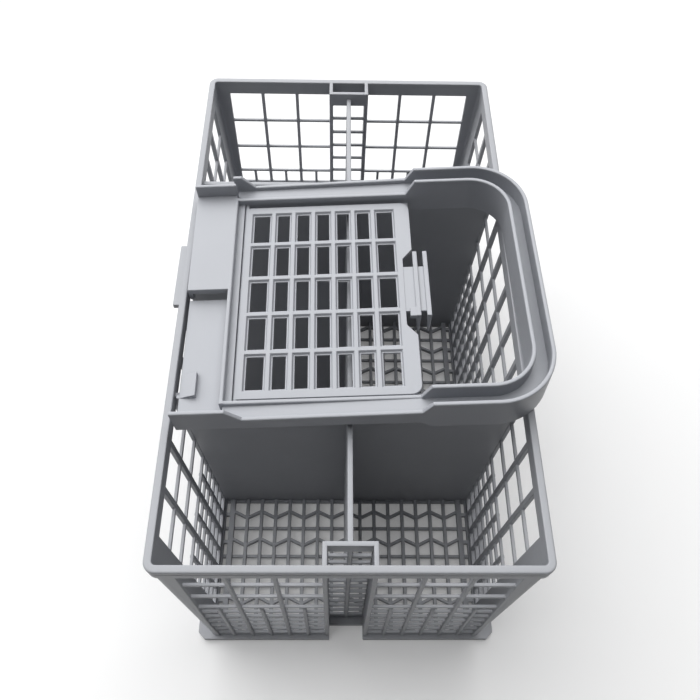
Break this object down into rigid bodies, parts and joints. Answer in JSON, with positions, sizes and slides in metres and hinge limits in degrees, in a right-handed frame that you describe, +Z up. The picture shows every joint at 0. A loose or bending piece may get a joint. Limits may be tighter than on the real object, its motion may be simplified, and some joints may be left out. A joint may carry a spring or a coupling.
{
  "type": "dishwasher cutlery basket",
  "caption": "Open lattice cutlery basket with inner walls, a foot flange, and a loose carry handle with a hinged lattice lid lying across the rim.",
  "frame": {"origin": "on the surface the basket stands on, under the middle of the basket", "axes": "+Z up, +Y along the basket's length, +X across it towards the handle's grip"},
  "size_m": [0.1448, 0.241, 0.1377],
  "materials": {
    "basket_plastic": "satin",
    "handle_plastic": "satin"
  },
  "bodies": {
    "basket_body": {"basket": "basket_plastic", "handle_frame": "handle_plastic"},
    "lid_body": {"lid": "handle_plastic"}
  },
  "joints": [
    {"name": "lid_hinge", "type": "hinge", "parent": "basket_body", "child": "lid_body", "pos_m": [-0.04295, -0.01157, 0.12043], "axis": [0.0157, -0.9999, 0], "range_deg": [0, 95]}
  ]
}
